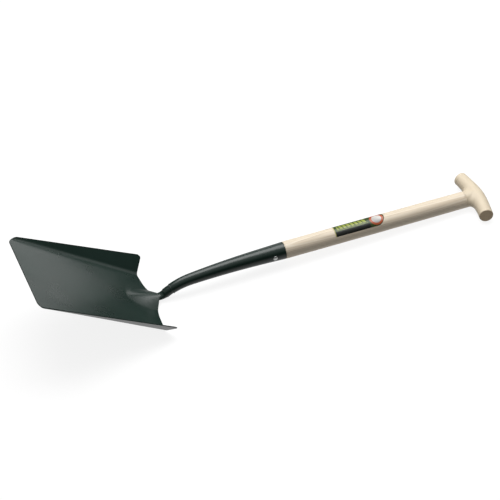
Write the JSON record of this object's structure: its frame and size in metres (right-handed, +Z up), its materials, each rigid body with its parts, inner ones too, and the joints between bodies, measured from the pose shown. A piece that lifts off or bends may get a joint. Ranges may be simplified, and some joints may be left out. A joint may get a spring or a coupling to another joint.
{
  "type": "garden spade",
  "caption": "Square-mouth garden spade with a tray-shaped pressed steel blade, cranked tapered socket, ash shaft and wooden T grip, lying on its heel and grip.",
  "frame": {"origin": "on the ground under the middle of the bounding box, with the tool lying on the blade's heel and the grip", "axes": "+X from the blade's mouth towards the grip, +Y across the blade, +Z up from the ground, into the open side of the blade"},
  "size_m": [1.0552, 0.266, 0.1881],
  "materials": {
    "painted_steel": "dark green gloss powder coat",
    "rivet_steel": "bright",
    "ash_wood": "waxed satin",
    "ash_grip": "waxed satin",
    "dowel_wood": "satin",
    "label_film": "printed gloss film"
  },
  "bodies": {
    "root": {"blade": "painted_steel", "neck": "painted_steel", "blade_weld": "painted_steel", "socket": "painted_steel", "socket_weld": "painted_steel", "socket_rivet": "rivet_steel", "shaft": "ash_wood", "crutch": "ash_grip", "crutch_dowel": "dowel_wood", "label": "label_film"}
  },
  "joints": []
}
